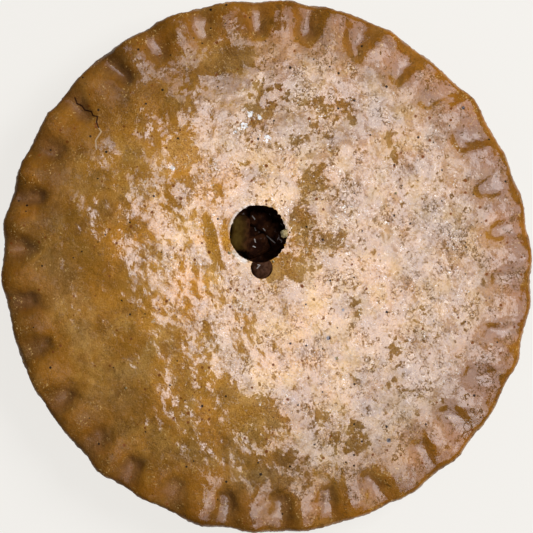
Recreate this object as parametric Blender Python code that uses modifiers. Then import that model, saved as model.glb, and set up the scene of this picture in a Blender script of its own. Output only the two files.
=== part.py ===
"""An apple tart: a round double-crust tart out of its tin, with a crimped rim and a small
fluted vent cut a little off the middle of its lid, where the apple filling shows.

Sizes are in metres and +Z is up. The origin is the middle of the base, where the tart stands.
Seen from above, +X points right and +Y away from the viewer.
"""

import math
import random

import bmesh
import bpy
from mathutils import Euler, Vector, noise

MM = 0.001

# The tart's outline, seen from above
RIM_RADIUS = 120.0 * MM
OVAL_SWING = 1.1 * MM  # how far the long axis stands out past the mean radius
OVAL_AXIS = math.radians(119)
OUTLINE_WOBBLE = 0.55 * MM

# Its section, from the base up
BASE_RADIUS = 83.0 * MM
WALL_FOOT_RADIUS = 86.0 * MM  # where the rounded foot meets the sloping side
WALL_TOP_RADIUS = 99.0 * MM  # where the sloping side meets the rim's underside
RIM_UNDERSIDE = 20.0 * MM
RIM_TOP = 26.8 * MM
EDGE_DEPTH = 2.8 * MM  # from where the rim's edge starts to round to its outermost point
LID_RISE = 8.2 * MM  # how much the middle of the lid stands above the rim
LID_RADIUS = 116.0 * MM  # the radius at which the lid has come down to the rim's height

# Pastry thicknesses and the gap that touching pieces keep
LID_THICKNESS = 4.0 * MM
WALL_THICKNESS = 4.5 * MM
PIECE_GAP = 0.3 * MM

# The crimps, pressed into the rim with a finger
CRIMP_COUNT = 30
FIRST_CRIMP = math.radians(8.4)
CRIMP_LENGTH = 17.0 * MM
LENGTH_SWING = 2.0 * MM  # how much longer they are on the shallow side, than on average
CRIMP_FADE = 3.0 * MM  # how gently a crimp's inner end rises to the lid
CRIMP_HALF_WIDTH = 9.5 * MM  # at the rim's edge
CRIMP_INNER_SHARE = 0.6  # the width at the inner end, as a share of that
CRIMP_DEPTH = 1.7 * MM
CRIMP_EDGE_SHARE = 0.3  # the depth at the rim's edge, as a share of the full depth
CRIMP_FLOOR_SHARE = 0.1  # how much of the width is flat floor
CRIMP_LEAN = 0.6  # the share by which one wall may be steeper than the other
CRIMP_WARP = 2.0 * MM  # how far the walls wander
CRIMP_WARP_LENGTH = 8.0 * MM
RIDGE_HEIGHT = 1.9 * MM  # how far the pastry swells up between two crimps
RIDGE_FADE = 13.0 * MM  # how far inside the crimps a ridge begins
RIDGE_BULGE = 0.75 * MM  # how far a ridge swells outwards, on average
SHALLOW_SIDE = math.radians(5)  # the side where the finger pressed least
SHALLOW_SWING = 0.4  # the share by which the two sides differ from the average
CRIMP_SEED = 11

# Gentle relief of the lid
SWELL_HEIGHT = 0.75 * MM
SWELL_LENGTH = 34.0 * MM
# Places on the lid that stand up or were pressed down:
# x, y, half length, half width, direction in degrees, height
LID_MARKS = (
    (-22.6 * MM, 14.0 * MM, 12.0 * MM, 2.8 * MM, 105.0, 0.9 * MM),
    (-28.2 * MM, 12.6 * MM, 9.5 * MM, 4.0 * MM, 105.0, -0.9 * MM),
    (14.5 * MM, 13.5 * MM, 11.0 * MM, 5.5 * MM, 85.0, -0.7 * MM),
    (-38.0 * MM, -16.0 * MM, 17.0 * MM, 8.0 * MM, 62.0, -0.4 * MM),
    (30.0 * MM, 48.0 * MM, 20.0 * MM, 10.0 * MM, 20.0, 0.8 * MM),
    (52.0 * MM, -20.0 * MM, 22.0 * MM, 12.0 * MM, 80.0, 0.7 * MM),
    (-8.0 * MM, -58.0 * MM, 24.0 * MM, 9.0 * MM, 150.0, 0.7 * MM),
    (-60.0 * MM, 38.0 * MM, 18.0 * MM, 10.0 * MM, 40.0, 0.7 * MM),
)

# The vent and the notch that the syrup broke in its near edge
VENT_X = -4.2 * MM
VENT_Y = 14.6 * MM
VENT_RADIUS = 12.7 * MM
VENT_FLUTES = 32
FLUTE_DEPTH = 0.5 * MM
TORN_SWING = 0.6 * MM  # how far the vent's edge wanders off its round form
CRUMBLE_DEPTH = 0.3 * MM  # and how deep crumbs have broken out of it
POINTS_PER_FLUTE = 4
NOTCH_X = VENT_X + 1.6 * MM
NOTCH_Y = VENT_Y - 15.3 * MM
NOTCH_RADIUS = 4.9 * MM
NOTCH_POINTS = 28

# The pocket under the vent, where the filling has sunk
POCKET_RADIUS = 14.2 * MM
POCKET_FLOOR = 22.5 * MM
POCKET_LIP = 1.6 * MM
# Apple pieces in the pocket, from the vent's middle:
# x, y, height of the middle, then length, width and thickness, then tilts in degrees
APPLE_PIECES = (
    (-8.4 * MM, 0.5 * MM, 24.6 * MM, (17.0 * MM, 8.5 * MM, 5.5 * MM), (4.0, 9.0, 82.0)),
    (-1.0 * MM, -5.5 * MM, 22.4 * MM, (12.0 * MM, 9.0 * MM, 6.0 * MM), (-8.0, 5.0, 20.0)),
    (1.0 * MM, 6.0 * MM, 22.7 * MM, (11.5 * MM, 8.0 * MM, 5.5 * MM), (10.0, -6.0, -24.0)),
    (8.3 * MM, -1.0 * MM, 22.9 * MM, (13.0 * MM, 8.0 * MM, 5.5 * MM), (-5.0, -10.0, 118.0)),
)
APPLE_ROUNDING = 2.5 * MM

# The drop of syrup in the notch
DROP_HEIGHT = 1.5 * MM  # above the lid
DROP_LOBES = 3
DROP_LOBE_SIZE = 0.35 * MM

# How finely the round shapes are cut up
CRUST_STEPS = 300
UNDER_RIM_STEPS = 150
LID_STEPS = 60
FILLING_STEPS = 60
DROP_STEPS = 28
MERGE = 0.00001

# Base colours (linear) and roughness
PASTRY = ((0.34, 0.17, 0.045), 0.35)
APPLE = ((0.060, 0.030, 0.010), 0.30)
SYRUP = ((0.045, 0.022, 0.014), 0.12)


def smooth_step(low, high, value):
    """0 below low, 1 above high and an S-curve between."""
    share = min(1.0, max(0.0, (value - low) / (high - low)))
    return share * share * (3.0 - 2.0 * share)


def lid_height(radius):
    """The height of the smooth lid at this radius, before crimps and relief."""
    return RIM_TOP + LID_RISE * (1.0 - (radius / LID_RADIUS) ** 2)


def press_share(direction):
    """How firmly the rim is pressed in this direction, about 1."""
    return 1.0 - SHALLOW_SWING * math.cos(direction - SHALLOW_SIDE)


def make_crimps():
    """One (direction, half width, depth, slant, lean, bulge) for each crimp, pressed by hand."""
    draw = random.Random(CRIMP_SEED)
    pitch = 2.0 * math.pi / CRIMP_COUNT
    crimps = []
    for index in range(CRIMP_COUNT):
        direction = FIRST_CRIMP + pitch * index + math.radians(draw.uniform(-0.9, 0.9))
        half_width = CRIMP_HALF_WIDTH * draw.uniform(0.86, 1.14)
        depth = CRIMP_DEPTH * press_share(direction) * draw.uniform(0.7, 1.2)
        slant = math.radians(draw.uniform(-9.0, 9.0))
        lean = draw.uniform(-CRIMP_LEAN, CRIMP_LEAN)
        bulge = RIDGE_BULGE * draw.uniform(0.0, 2.0)
        crimps.append((direction, half_width, depth, slant, lean, bulge))
    return crimps


CRIMPS = make_crimps()


def crimp_at(radius, direction):
    """(depth, ridge, bulge) here: depth and bulge in metres, ridge from 0 to 1."""
    pitch = 2.0 * math.pi / CRIMP_COUNT
    length = CRIMP_LENGTH + LENGTH_SWING * math.cos(direction - SHALLOW_SIDE)
    inner_end = RIM_RADIUS - length
    if radius < inner_end - RIDGE_FADE:
        return 0.0, 0.0, 0.0
    here = Vector((math.cos(direction), math.sin(direction), 0.0)) * radius / CRIMP_WARP_LENGTH
    sideways = CRIMP_WARP * noise.fractal(here, 1.0, 2.0, 3)
    inwards = CRIMP_WARP * noise.fractal(here + Vector((0.0, 0.0, 6.0)), 1.0, 2.0, 3)
    nearest = round((direction - FIRST_CRIMP) / pitch) % CRIMP_COUNT
    depth = 0.0
    for index in (nearest - 1, nearest, (nearest + 1) % CRIMP_COUNT):
        middle, half_width, full_depth, slant, lean, bulge = CRIMPS[index]
        turn = math.remainder(direction - middle, 2.0 * math.pi)
        across = turn * radius - math.tan(slant) * (radius - RIM_RADIUS) + sideways
        widening = min(1.0, max(0.0, (radius - inner_end) / length))
        width = half_width * (CRIMP_INNER_SHARE + (1.0 - CRIMP_INNER_SHARE) * widening)
        floor = CRIMP_FLOOR_SHARE * (1.0 + math.copysign(lean, across))
        section = 1.0 - smooth_step(floor, 1.0, abs(across) / width)
        way = radius + inwards
        start = smooth_step(inner_end - CRIMP_FADE, inner_end + CRIMP_FADE, way)
        fall = smooth_step(inner_end + CRIMP_FADE, RIM_RADIUS, way)
        along = start * (1.0 - (1.0 - CRIMP_EDGE_SHARE) * fall)
        depth = max(depth, full_depth * section * along)
    turn = (direction - FIRST_CRIMP) % (2.0 * math.pi)
    on_rim = smooth_step(inner_end - RIDGE_FADE, RIM_RADIUS, radius)
    ridge = 0.5 * (1.0 - math.cos(turn * CRIMP_COUNT)) * on_rim
    bulge = CRIMPS[int(turn / pitch) % CRIMP_COUNT][5]
    return depth, ridge, bulge


def lid_relief(x, y):
    """How far the lid stands above its smooth form, away from the crimps."""
    near = Vector((x, y, 0.0)) / SWELL_LENGTH
    height = SWELL_HEIGHT * noise.noise(near + Vector((3.7, 1.9, 0.0)))
    height += 0.4 * SWELL_HEIGHT * noise.noise(near * 2.3 + Vector((0.0, 8.1, 2.0)))
    for mark_x, mark_y, half_length, half_width, direction, rise in LID_MARKS:
        angle = math.radians(direction)
        along = (x - mark_x) * math.cos(angle) + (y - mark_y) * math.sin(angle)
        across = (y - mark_y) * math.cos(angle) - (x - mark_x) * math.sin(angle)
        spread = (along / half_length) ** 2 + (across / half_width) ** 2
        height += rise * math.exp(-1.6 * spread)
    return height


def outline_shift(direction):
    """How far the outline stands outside a circle in this direction."""
    way = Vector((math.cos(direction), math.sin(direction), 0.0))
    wobble = noise.noise(way * 2.2 + Vector((5.0, 0.0, 7.0)))
    return OVAL_SWING * math.cos(2.0 * (direction - OVAL_AXIS)) + OUTLINE_WOBBLE * wobble


def shaped(point):
    """Moves a point of the plain turned tart to where hand work and baking have brought it."""
    radius = math.hypot(point.x, point.y)
    if radius < MERGE:
        return point + Vector((0.0, 0.0, lid_relief(0.0, 0.0) if point.z > RIM_TOP else 0.0))
    direction = math.atan2(point.y, point.x)
    above = smooth_step(RIM_UNDERSIDE, RIM_TOP - 1.0 * MM, point.z)
    depth, ridge, bulge = crimp_at(radius, direction)
    inside_rim = 1.0 - smooth_step(RIM_RADIUS - CRIMP_LENGTH - 6.0 * MM, RIM_RADIUS, radius)
    lift = above * (RIDGE_HEIGHT * press_share(direction) * ridge - depth)
    lift += above * lid_relief(point.x, point.y) * inside_rim
    outward = outline_shift(direction) * (radius / RIM_RADIUS) ** 2
    swelling = bulge * ridge - 0.5 * RIDGE_BULGE
    outward += swelling * smooth_step(LID_RADIUS, RIM_RADIUS, radius)
    stretch = 1.0 + outward / radius
    return Vector((point.x * stretch, point.y * stretch, point.z + lift))


def clear_scene():
    """Empties the scene that the script starts in."""
    for obj in list(bpy.data.objects):
        bpy.data.objects.remove(obj, do_unlink=True)


def new_collection(name):
    """A collection in the scene."""
    collection = bpy.data.collections.new(name)
    bpy.context.scene.collection.children.link(collection)
    return collection


def new_material(name, finish):
    """A plain Principled material from a (colour, roughness) pair."""
    colour, roughness = finish
    material = bpy.data.materials.new(name)
    material.use_nodes = True
    shader = material.node_tree.nodes["Principled BSDF"]
    shader.inputs["Base Color"].default_value = (*colour, 1.0)
    shader.inputs["Roughness"].default_value = roughness
    shader.inputs["Metallic"].default_value = 0.0
    return material


def set_mesh_to_evaluated(obj):
    """Applies an object's modifiers."""
    bpy.context.view_layer.update()
    evaluated = obj.evaluated_get(bpy.context.evaluated_depsgraph_get())
    obj.data = bpy.data.meshes.new_from_object(evaluated)
    obj.modifiers.clear()


def turned_solid(name, profile, steps, collection):
    """A solid of revolution about +Z. Its (radius, height) points run down the outer side."""
    mesh = bpy.data.meshes.new(name)
    points = [(radius, 0.0, height) for radius, height in profile]
    mesh.from_pydata(points, [(i, i + 1) for i in range(len(points) - 1)], [])
    obj = bpy.data.objects.new(name, mesh)
    collection.objects.link(obj)
    screw = obj.modifiers.new("turn", "SCREW")
    screw.steps = screw.render_steps = steps
    screw.use_merge_vertices = True
    screw.merge_threshold = MERGE
    set_mesh_to_evaluated(obj)
    return obj


def thin_rings(obj, keep, in_ring):
    """Leaves only each keep-th corner of the crust's rings that in_ring(radius, height) picks."""
    form = bmesh.new()
    form.from_mesh(obj.data)
    rings = {}
    for vert in form.verts:
        radius = math.hypot(vert.co.x, vert.co.y)
        if radius > MERGE and in_ring(radius, vert.co.z):
            turns = math.atan2(vert.co.y, vert.co.x) / (2.0 * math.pi)
            step = round(turns * CRUST_STEPS) % CRUST_STEPS
            ring = (round(radius / MERGE), round(vert.co.z / MERGE))
            rings.setdefault(ring, {})[step] = vert
    targets = {}
    for ring in rings.values():
        for step, vert in ring.items():
            kept = ring[step - step % keep]
            if kept != vert:
                targets[vert] = kept
    bmesh.ops.weld_verts(form, targetmap=targets)
    form.to_mesh(obj.data)
    form.free()


def add_boolean(obj, other, operation):
    """Cuts obj by another object, or joins the two."""
    boolean = obj.modifiers.new(operation.lower(), "BOOLEAN")
    boolean.operation = operation
    boolean.object = other
    boolean.solver = "EXACT"


def make_helper(obj):
    """Marks a cutter, which isn't part of the tart."""
    obj.hide_render = True
    obj.display_type = "WIRE"


def prism(name, outline, low, high, collection):
    """An upright prism on a 2D outline, from an extruded curve."""
    curve = bpy.data.curves.new(name, "CURVE")
    curve.dimensions = "2D"
    curve.fill_mode = "BOTH"
    curve.extrude = (high - low) / 2.0
    spline = curve.splines.new("POLY")
    spline.points.add(len(outline) - 1)
    for point, (x, y) in zip(spline.points, outline):
        point.co = (x, y, 0.0, 1.0)
    spline.use_cyclic_u = True
    drawn = bpy.data.objects.new(name + "_outline", curve)
    drawn.location.z = (low + high) / 2.0
    collection.objects.link(drawn)
    bpy.context.view_layer.update()
    evaluated = drawn.evaluated_get(bpy.context.evaluated_depsgraph_get())
    mesh = bpy.data.meshes.new_from_object(evaluated)
    form = bmesh.new()
    form.from_mesh(mesh)
    bmesh.ops.remove_doubles(form, verts=form.verts, dist=MERGE)
    bmesh.ops.recalc_face_normals(form, faces=form.faces)
    form.to_mesh(mesh)
    form.free()
    solid = bpy.data.objects.new(name, mesh)
    solid.matrix_world = drawn.matrix_world
    collection.objects.link(solid)
    bpy.data.objects.remove(drawn)
    return solid


def crust_profile():
    """The tart's outside as (radius, height), from the lid's middle down to the base's."""
    lid_rings = (0.0, 9.0, 20.0, 32.0, 44.0, 56.0, 68.0, 79.0, 88.0, 95.0)
    crimped_rings = (99.0, 102.0, 104.5, 107.0, 109.5, 112.0, 114.3, 116.3)
    profile = [(ring * MM, lid_height(ring * MM)) for ring in lid_rings + crimped_rings]
    edge_height = (RIM_TOP + RIM_UNDERSIDE) / 2.0
    half_edge = (RIM_TOP - RIM_UNDERSIDE) / 2.0
    for degrees in (58.0, 30.0, 0.0, -32.0, -62.0):
        angle = math.radians(degrees)
        radius = RIM_RADIUS - EDGE_DEPTH * (1.0 - math.cos(angle))
        profile.append((radius, edge_height + half_edge * math.sin(angle)))
    profile.append((RIM_RADIUS - 2.0 * EDGE_DEPTH, RIM_UNDERSIDE))
    profile.append((WALL_TOP_RADIUS, RIM_UNDERSIDE - 0.6 * MM))
    profile.append((WALL_FOOT_RADIUS, 2.2 * MM))
    profile.append((BASE_RADIUS + 1.2 * MM, 0.4 * MM))
    profile.append((BASE_RADIUS, 0.0))
    profile.append((0.0, 0.0))
    return profile


def filling_profile(inset):
    """The space inside the pastry, drawn in by inset, from the lid down to the base."""
    edge = WALL_TOP_RADIUS - 1.0 * MM - inset
    rings = (0.0, 25.0 * MM, 48.0 * MM, 70.0 * MM, 87.0 * MM)
    profile = [(ring, lid_height(ring) - LID_THICKNESS - inset) for ring in rings]
    profile.append((edge - 1.0 * MM, lid_height(edge) - LID_THICKNESS - 0.6 * MM - inset))
    profile.append((edge, lid_height(edge) - LID_THICKNESS - 2.0 * MM - inset))
    wall_foot = WALL_FOOT_RADIUS - WALL_THICKNESS - inset
    profile.append((wall_foot + 1.0 * MM, WALL_THICKNESS + 2.0 * MM + inset))
    profile.append((wall_foot - 1.0 * MM, WALL_THICKNESS + inset))
    profile.append((0.0, WALL_THICKNESS + inset))
    return profile


def vent_outline():
    """The vent's edge: fluted by the cutter, torn and crumbled since."""
    points = []
    for step in range(VENT_FLUTES * POINTS_PER_FLUTE):
        angle = 2.0 * math.pi * step / (VENT_FLUTES * POINTS_PER_FLUTE)
        way = Vector((math.cos(angle), math.sin(angle), 0.0))
        torn = TORN_SWING * noise.noise(way * 1.7 + Vector((1.0, 4.0, 0.0)))
        kept = 0.55 + 1.1 * noise.noise(way * 2.6 + Vector((0.0, 3.0, 1.0))) + 0.35 * way.x
        flute = FLUTE_DEPTH * max(0.0, kept) * abs(math.sin(angle * VENT_FLUTES / 2.0))
        crumbled = CRUMBLE_DEPTH * noise.noise(way * 8.0)
        radius = VENT_RADIUS + flute + torn + crumbled
        points.append((VENT_X + radius * way.x, VENT_Y + radius * way.y))
    return points


def notch_outline():
    """The round notch beside the vent."""
    turns = [2.0 * math.pi * (step + 0.5) / NOTCH_POINTS for step in range(NOTCH_POINTS)]
    return [
        (NOTCH_X + NOTCH_RADIUS * math.cos(turn), NOTCH_Y + NOTCH_RADIUS * math.sin(turn))
        for turn in turns
    ]


def make_vent(cutters):
    """The vent, as an upright cutter through the lid."""
    roof = lid_height(0.0) + 8.0 * MM
    floor = POCKET_FLOOR + 2.0 * MM
    vent = prism("vent_cutter", vent_outline(), floor, roof, cutters)
    make_helper(vent)
    return vent


def make_crust(parts, cutters, vent):
    """The pastry case and lid, baked into one piece, hollow where the filling lies."""
    crust = turned_solid("crust", crust_profile(), CRUST_STEPS, parts)
    fine_from = RIM_RADIUS - CRIMP_LENGTH - CRIMP_FADE - 3.0 * MM
    edge_height = (RIM_TOP + RIM_UNDERSIDE) / 2.0
    thin_rings(
        crust,
        CRUST_STEPS // UNDER_RIM_STEPS,
        lambda radius, height: RIM_UNDERSIDE + MERGE < height < edge_height - MERGE,
    )
    thin_rings(
        crust,
        CRUST_STEPS // LID_STEPS,
        lambda radius, height: radius < fine_from or height < RIM_UNDERSIDE + MERGE,
    )
    for vert in crust.data.vertices:
        vert.co = shaped(vert.co)
    cavity = turned_solid("cavity", filling_profile(0.0), FILLING_STEPS, cutters)
    roof = lid_height(0.0) + 8.5 * MM
    floor = POCKET_FLOOR + 2.5 * MM
    notch = prism("notch_cutter", notch_outline(), floor, roof, cutters)
    for cutter in (cavity, vent, notch):
        add_boolean(crust, cutter, "DIFFERENCE")
        make_helper(cutter)
    return crust


def make_pocket(cutters):
    """The hollow under the vent: a shallow bowl with a rounded floor."""
    roof = lid_height(0.0) + 5.0 * MM
    profile = [
        (0.0, roof),
        (POCKET_RADIUS, roof),
        (POCKET_RADIUS, POCKET_FLOOR + POCKET_LIP),
        (POCKET_RADIUS - POCKET_LIP, POCKET_FLOOR),
        (0.0, POCKET_FLOOR - 0.6 * MM),
    ]
    pocket = turned_solid("pocket_cutter", profile, FILLING_STEPS // 2, cutters)
    pocket.location = (VENT_X, VENT_Y, 0.0)
    return pocket


def make_apple_piece(index, piece, cutters):
    """One soft-edged slice of apple, to be joined to the filling."""
    x, y, middle, size, tilts = piece
    bpy.ops.mesh.primitive_cube_add(size=1.0)
    apple = bpy.context.object
    apple.name = f"apple_piece_{index}"
    for vert in apple.data.vertices:
        vert.co = Vector(corner * side for corner, side in zip(vert.co, size))
    bevel = apple.modifiers.new("soft_edges", "BEVEL")
    bevel.width = APPLE_ROUNDING
    bevel.segments = 3
    apple.rotation_euler = Euler([math.radians(tilt) for tilt in tilts])
    apple.location = (VENT_X + x, VENT_Y + y, middle)
    for collection in list(apple.users_collection):
        collection.objects.unlink(apple)
    cutters.objects.link(apple)
    set_mesh_to_evaluated(apple)
    return apple


def make_filling(parts, cutters):
    """Apple in brown syrup: it fills the case, and has sunk a little below the vent."""
    filling = turned_solid("filling", filling_profile(PIECE_GAP), FILLING_STEPS, parts)
    pocket = make_pocket(cutters)
    add_boolean(filling, pocket, "DIFFERENCE")
    make_helper(pocket)
    for index, piece in enumerate(APPLE_PIECES):
        apple = make_apple_piece(index, piece, cutters)
        add_boolean(filling, apple, "UNION")
        make_helper(apple)
    return filling


def make_syrup_drop(parts, vent):
    """The drop of syrup that has welled up through the notch and set there, up to the vent."""
    foot = lid_height(0.0) - LID_THICKNESS
    top = lid_height(0.0) + DROP_HEIGHT
    radius = NOTCH_RADIUS - PIECE_GAP - DROP_LOBE_SIZE
    profile = [
        (0.0, top),
        (0.38 * radius, top - 0.15 * MM),
        (0.70 * radius, top - 0.75 * MM),
        (0.92 * radius, top - 1.70 * MM),
        (radius, top - 2.80 * MM),
        (radius, foot + 0.80 * MM),
        (0.88 * radius, foot),
        (0.0, foot),
    ]
    drop = turned_solid("syrup_drop", profile, DROP_STEPS, parts)
    for vert in drop.data.vertices:
        reach = math.hypot(vert.co.x, vert.co.y) / radius
        direction = math.atan2(vert.co.y, vert.co.x)
        lobe = DROP_LOBE_SIZE * reach**2 * math.sin(DROP_LOBES * direction + 0.6)
        stretch = 1.0 + lobe / radius
        vert.co.x *= stretch
        vert.co.y *= stretch
    drop.location = (NOTCH_X, NOTCH_Y, 0.0)
    add_boolean(drop, vent, "DIFFERENCE")
    return drop


def centre_on_origin(crust, others):
    """Brings the middle of the uneven outline over the origin."""
    xs = [vert.co.x for vert in crust.data.vertices]
    ys = [vert.co.y for vert in crust.data.vertices]
    shift = Vector(((min(xs) + max(xs)) / 2.0, (min(ys) + max(ys)) / 2.0, 0.0))
    for obj in [crust, *others]:
        obj.location -= shift


def main():
    clear_scene()
    parts = new_collection("apple_tart")
    cutters = new_collection("cutters")
    vent = make_vent(cutters)
    crust = make_crust(parts, cutters, vent)
    filling = make_filling(parts, cutters)
    drop = make_syrup_drop(parts, vent)
    centre_on_origin(crust, [filling, drop, *cutters.objects])
    finishes = ((crust, "pastry", PASTRY), (filling, "apple", APPLE), (drop, "syrup", SYRUP))
    for obj, name, finish in finishes:
        obj.data.materials.clear()
        obj.data.materials.append(new_material(name, finish))
        obj.data.shade_smooth()
        obj.data.set_sharp_from_angle(angle=math.radians(35.0))


main()
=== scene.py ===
"""The looks of the apple tart: its baked, glazed crust, the apple in the vent, the syrup drop,
loose crumbs, and a plain studio set seen from straight above.

Sizes are in metres and +Z is up. The sizes at the top that carry the same names as in the
part's own source are the same sizes, so that the fine crust keeps the form of its solid.
"""

import random
from math import atan2, copysign, cos, degrees, exp, hypot, pi, radians, remainder, sin, tan

import bmesh
import bpy
from mathutils import Euler, Matrix, Vector, noise


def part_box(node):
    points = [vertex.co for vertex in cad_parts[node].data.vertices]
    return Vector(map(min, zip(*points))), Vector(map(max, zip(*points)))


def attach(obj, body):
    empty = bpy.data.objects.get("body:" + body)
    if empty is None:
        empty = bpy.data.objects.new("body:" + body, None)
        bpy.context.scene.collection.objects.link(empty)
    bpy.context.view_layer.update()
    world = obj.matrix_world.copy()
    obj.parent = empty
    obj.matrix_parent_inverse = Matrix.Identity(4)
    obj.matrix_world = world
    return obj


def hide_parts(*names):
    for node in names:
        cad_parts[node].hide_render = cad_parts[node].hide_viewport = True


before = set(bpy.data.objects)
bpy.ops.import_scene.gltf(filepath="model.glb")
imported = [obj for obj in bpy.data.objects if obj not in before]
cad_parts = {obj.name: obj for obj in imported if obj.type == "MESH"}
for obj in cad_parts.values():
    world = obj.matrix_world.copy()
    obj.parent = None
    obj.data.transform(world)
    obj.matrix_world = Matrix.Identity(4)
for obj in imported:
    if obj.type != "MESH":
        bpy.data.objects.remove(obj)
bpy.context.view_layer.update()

MM = 0.001


def in_metres(lengths, *rows):
    """The rows, with the first so many numbers of each taken from millimetres to metres."""
    return [tuple(size * MM for size in row[:lengths]) + row[lengths:] for row in rows]


# The tart's outline and section
RIM_RADIUS = 120.0 * MM
OVAL_SWING = 1.1 * MM
OVAL_AXIS = radians(119)
OUTLINE_WOBBLE = 0.55 * MM
EDGE_CRUMBLE = 0.18 * MM
DROOP = 1.0 * MM
DROOP_LENGTH = 12.0 * MM
BASE_RADIUS = 83.0 * MM
WALL_FOOT_RADIUS = 86.0 * MM
WALL_TOP_RADIUS = 99.0 * MM
RIM_UNDERSIDE = 20.0 * MM
RIM_TOP = 26.8 * MM
EDGE_DEPTH = 2.8 * MM
LID_RISE = 8.2 * MM
LID_RADIUS = 116.0 * MM
LID_THICKNESS = 4.0 * MM
WALL_THICKNESS = 4.5 * MM
PIECE_GAP = 0.3 * MM

# The crimps
CRIMP_COUNT = 30
FIRST_CRIMP = radians(8.4)
CRIMP_LENGTH = 17.0 * MM
LENGTH_SWING = 2.0 * MM
CRIMP_FADE = 3.0 * MM
CRIMP_HALF_WIDTH = 9.5 * MM
CRIMP_INNER_SHARE = 0.6
CRIMP_DEPTH = 1.7 * MM
CRIMP_EDGE_SHARE = 0.3
CRIMP_FLOOR_SHARE = 0.1
CRIMP_LEAN = 0.6
CRIMP_WARP = 2.0 * MM
CRIMP_WARP_LENGTH = 8.0 * MM
SHALLOW_SIDE = radians(5)
SHALLOW_SWING = 0.4
RIDGE_HEIGHT = 1.9 * MM
RIDGE_FADE = 13.0 * MM
RIDGE_BULGE = 0.75 * MM
CRIMP_SEED = 11
WARP_SEED = 3

# The lid's relief
SWELL_HEIGHT = 0.75 * MM
SWELL_LENGTH = 34.0 * MM
# x, y, half length, half width and height in millimetres, direction in degrees
LID_MARKS = in_metres(
    5,
    (-22.6, 14, 12, 2.8, 0.9, 105),
    (-28.2, 12.6, 9.5, 4, -0.9, 105),
    (14.5, 13.5, 11, 5.5, -0.7, 85),
    (-38, -16, 17, 8, -0.4, 62),
    (30, 48, 20, 10, 0.8, 20),
    (52, -20, 22, 12, 0.7, 80),
    (-8, -58, 24, 9, 0.7, 150),
    (-60, 38, 18, 10, 0.7, 40),
)

# The vent, the notch beside it, the pocket below it with the four pieces of apple (middle seen
# from the vent's, size and tilts in degrees), and the drop in the notch
VENT_X = -4.2 * MM
VENT_Y = 14.6 * MM
VENT_RADIUS = 12.7 * MM
VENT_FLUTES = 32
FLUTE_DEPTH = 0.5 * MM
TORN_SWING = 0.6 * MM
CRUMBLE_DEPTH = 0.3 * MM
NOTCH_X = VENT_X + 1.6 * MM
NOTCH_Y = VENT_Y - 15.3 * MM
NOTCH_RADIUS = 4.9 * MM
POCKET_RADIUS = 14.2 * MM
POCKET_FLOOR = 22.5 * MM
POCKET_LIP = 1.6 * MM
APPLE_PIECES = in_metres(
    6,
    (-8.4, 0.5, 24.6, 17, 8.5, 5.5, 4, 9, 82),
    (-1, -5.5, 22.4, 12, 9, 6, -8, 5, 20),
    (1, 6, 22.7, 11.5, 8, 5.5, 10, -6, -24),
    (8.3, -1, 22.9, 13, 8, 5.5, -5, -10, 118),
)
APPLE_ROUNDING = 2.5 * MM
DROP_HEIGHT = 1.5 * MM
DROP_LOBES = 3
DROP_LOBE_SIZE = 0.35 * MM

# Where the glaze lies thick, or is missing where the last number is below 0: x, y, half length
# and half width in millimetres, direction in degrees, how much
GLAZE_PATCHES = in_metres(
    4,
    (15, 16, 15, 6.5, 92, -0.8),
    (-28.2, 11.6, 7.5, 3.2, 105, -1),
    (-18.6, 10.7, 8, 1.3, 96, -1),
    (-22.6, 14, 12, 1.5, 105, 1),
    (-10, 29, 10, 5, 20, 0.8),
    (-42, 8, 20, 9, 110, 0.25),
    (2, -72, 30, 11, -28, -0.45),
    (-44, 17, 9, 4, 110, 0.6),
    (34, -74, 15, 10, -30, -0.65),
    (26, 66, 17, 12, 0, -0.5),
    (-22, 60, 14, 10, 90, 1.6),
    (29, 19, 14, 8, 80, -0.45),
    (-56, 40, 11, 8, 60, -0.25),
    (-62, 68, 20, 9, 35, -0.3),
    (0, 74, 10, 8, 0, -0.5),
    (58, 58, 15, 9, 55, -0.25),
    (56, -50, 18, 10, 90, -0.45),
    (14, -66, 10, 12, 90, -0.15),
    (8, -93, 18, 9, 0, -0.45),
    (-50, 68, 30, 16, 40, -0.12),
    (-40, -6, 12, 7, -60, 0.6),
    (37, -92, 10, 6, 20, 0.6),
    (-27, -8, 20, 15, -60, 1.9),
    (10, -1, 14, 6, 0, -0.7),
    (19, 38, 9, 7, 90, -0.7),
    (-18, 93, 12, 7, 0, -0.7),
    (-37, 55, 8, 8, 0, -0.8),
    (-19, -55, 10, 8, -45, 0.6),
    (48, 6, 3, 1.4, 80, -0.9),
    (24, 44, 5, 2.6, 60, -0.6),
    (40, -22, 7, 3, 110, -0.55),
    (-10, -36, 20, 12, -52, 0.6),
)
# Where the lid has baked paler, or darker where the last number is below 0, in the same order
BAKED_PATCHES = in_metres(
    4,
    (-28.2, 11.6, 9, 5, 105, 0.35),
    (16, 12, 18, 9, 92, -0.16),
    (10, -3, 14, 7, 0, -0.16),
    (34, -74, 15, 9, -30, -0.12),
    (-38, 42, 34, 22, 100, 0.18),
    (-28, -9, 20, 13, -45, 0.32),
    (-52, 60, 32, 20, 45, 0.12),
    (-19, -55, 12, 10, 0, 0.22),
    (29, 19, 16, 8, 80, -0.12),
    (-74, 68, 18, 11, 60, -0.18),
    (-92, 19, 12, 9, 90, -0.14),
)

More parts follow.
